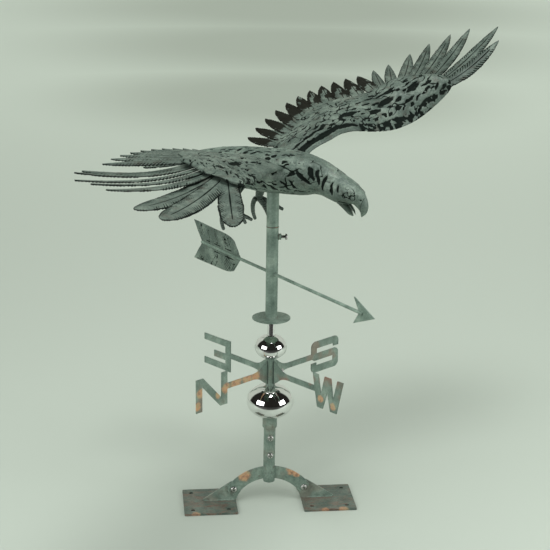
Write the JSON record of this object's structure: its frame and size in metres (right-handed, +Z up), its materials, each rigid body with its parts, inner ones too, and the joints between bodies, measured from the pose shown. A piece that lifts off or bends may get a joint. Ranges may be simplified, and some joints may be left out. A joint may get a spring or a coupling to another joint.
{
  "type": "weather vane",
  "caption": "Eagle weather vane: copper-green bird on a turning arrow post, above a lettered compass and polished balls, on a bracket with hinged roof plates.",
  "frame": {"origin": "where the mast axis meets the mounting plane under the two foot plates", "axes": "+Z up along the mast, X along the arch from foot to foot, -Y is the side with the socket screws"},
  "size_m": [0.6995, 0.7772, 0.7475],
  "materials": {
    "verdigris_steel": "matt grey-green verdigris paint over a copper wash, worn to copper on edges",
    "verdigris_letters": "matt verdigris paint with brown and copper wear",
    "verdigris_tube": "satin verdigris paint with small dark marks",
    "verdigris_fletching": "matt verdigris paint with dark pressed barbs",
    "verdigris_bird": "matt verdigris patina, near black in the pressed recesses",
    "verdigris_feathers": "matt verdigris patina with dark barbs and ridges",
    "polished_ball": "mirror-polished spun steel",
    "polished_rod": "mirror-plated bar",
    "bright_screws": "bright zinc plate, slightly dulled",
    "bearing_steel": "ground steel",
    "brass_bush": "turned brass",
    "bare_copper_ring": "bare copper edge"
  },
  "bodies": {
    "roof_mount": {"arch_plate": "verdigris_steel", "pivot_bolts": "bright_screws", "pivot_washers": "bright_screws", "pivot_nuts": "bright_screws", "socket_tube": "verdigris_steel", "socket_nuts": "verdigris_steel", "ball_collar": "verdigris_steel", "mast_rod": "polished_rod", "pivot_ball": "bearing_steel", "large_ball": "polished_ball", "small_ball": "polished_ball"},
    "left_foot": {"left_foot_plate": "verdigris_steel", "left_foot_lug": "verdigris_steel"},
    "right_foot": {"right_foot_plate": "verdigris_steel", "right_foot_lug": "verdigris_steel"},
    "socket_screw_upper_body": {"socket_screw_upper": "bright_screws"},
    "socket_screw_lower_body": {"socket_screw_lower": "bright_screws"},
    "compass": {"hub_tube": "verdigris_steel", "hub_nut": "verdigris_steel", "north_arm": "verdigris_letters", "east_arm": "verdigris_letters", "south_arm": "verdigris_letters", "west_arm": "verdigris_letters"},
    "hub_screw_body": {"hub_set_screw": "bright_screws"},
    "vane": {"vane_tube": "verdigris_tube", "drip_disc": "verdigris_tube", "lower_bush": "brass_bush", "pivot_cap": "brass_bush", "arrow_shaft": "verdigris_tube", "arrow_head": "verdigris_tube", "arrow_fletching": "verdigris_fletching", "post_nut": "verdigris_tube"},
    "post_screw_body": {"post_set_screw": "bright_screws"},
    "eagle": {"joint_ring": "bare_copper_ring", "post_tube": "verdigris_tube", "post_spigot": "bearing_steel", "post_saddle": "bearing_steel", "body_left_half": "verdigris_bird", "body_right_half": "verdigris_bird", "head_shell": "verdigris_bird", "upper_beak": "verdigris_bird", "lower_beak": "verdigris_bird", "tongue": "verdigris_bird", "eyes": "verdigris_bird", "left_wing_shell": "verdigris_bird", "right_wing_shell": "verdigris_bird", "left_primaries": "verdigris_feathers", "right_primaries": "verdigris_feathers", "left_secondaries": "verdigris_feathers", "right_secondaries": "verdigris_feathers", "tail_feathers": "verdigris_feathers", "left_leg": "verdigris_bird", "right_leg": "verdigris_bird", "left_talons": "verdigris_bird", "right_talons": "verdigris_bird"}
  },
  "joints": [
    {"name": "left_foot_tilt", "type": "hinge", "parent": "roof_mount", "child": "left_foot", "pos_m": [-0.0579, 0.003, 0.0232], "axis": [0, -1, 0], "range_deg": [-15, 50]},
    {"name": "right_foot_tilt", "type": "hinge", "parent": "roof_mount", "child": "right_foot", "pos_m": [0.0579, 0.003, 0.0232], "axis": [0, 1, 0], "range_deg": [-15, 50]},
    {"name": "socket_screw_upper_travel", "type": "slide", "parent": "roof_mount", "child": "socket_screw_upper_body", "axis": [0, -1, 0], "range_m": [0, 0.005]},
    {"name": "socket_screw_lower_travel", "type": "slide", "parent": "roof_mount", "child": "socket_screw_lower_body", "axis": [0, -1, 0], "range_m": [0, 0.005]},
    {"name": "compass_turn", "type": "hinge", "parent": "roof_mount", "child": "compass", "pos_m": [0, 0, 0.228], "axis": [0, 0, 1], "continuous": true},
    {"name": "hub_screw_travel", "type": "slide", "parent": "compass", "child": "hub_screw_body", "axis": [0.9936, -0.1132, 0], "range_m": [0, 0.004]},
    {"name": "vane_turn", "type": "hinge", "parent": "roof_mount", "child": "vane", "pos_m": [0, 0, 0.375], "axis": [0, 0, 1], "continuous": true},
    {"name": "post_screw_travel", "type": "slide", "parent": "vane", "child": "post_screw_body", "axis": [0.9936, -0.1132, 0], "range_m": [0, 0.005]},
    {"name": "eagle_turn", "type": "hinge", "parent": "vane", "child": "eagle", "pos_m": [0, 0, 0.467], "axis": [0, 0, 1], "continuous": true}
  ]
}
